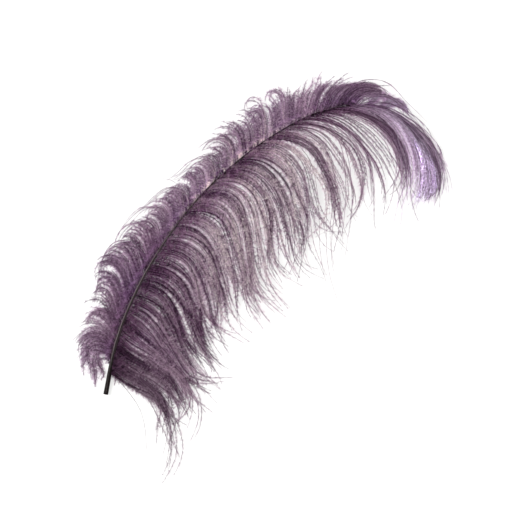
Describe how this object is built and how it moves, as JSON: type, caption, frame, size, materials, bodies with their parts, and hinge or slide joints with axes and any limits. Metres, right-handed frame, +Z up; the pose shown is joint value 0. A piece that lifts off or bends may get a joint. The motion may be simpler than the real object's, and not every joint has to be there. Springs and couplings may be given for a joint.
{
  "type": "ostrich feather",
  "caption": "Dyed plum ostrich plume lying flat, with a black quill, a short vane and a long drooping vane that curl round at the tip.",
  "frame": {"origin": "on the table under the middle of the feather's outline", "axes": "+X along the feather from the cut end of the quill towards the tip, +Y across it towards the short vane, +Z up"},
  "size_m": [0.4892, 0.2268, 0.0255],
  "materials": {
    "shaft": "polished dark horn, greyer along its middle groove",
    "short_vane": "dyed down, matt with a soft sheen",
    "long_vane": "dyed down, matt with a soft sheen"
  },
  "bodies": {
    "root": {"shaft": "shaft", "short_vane": "short_vane", "long_vane": "long_vane"}
  },
  "joints": []
}
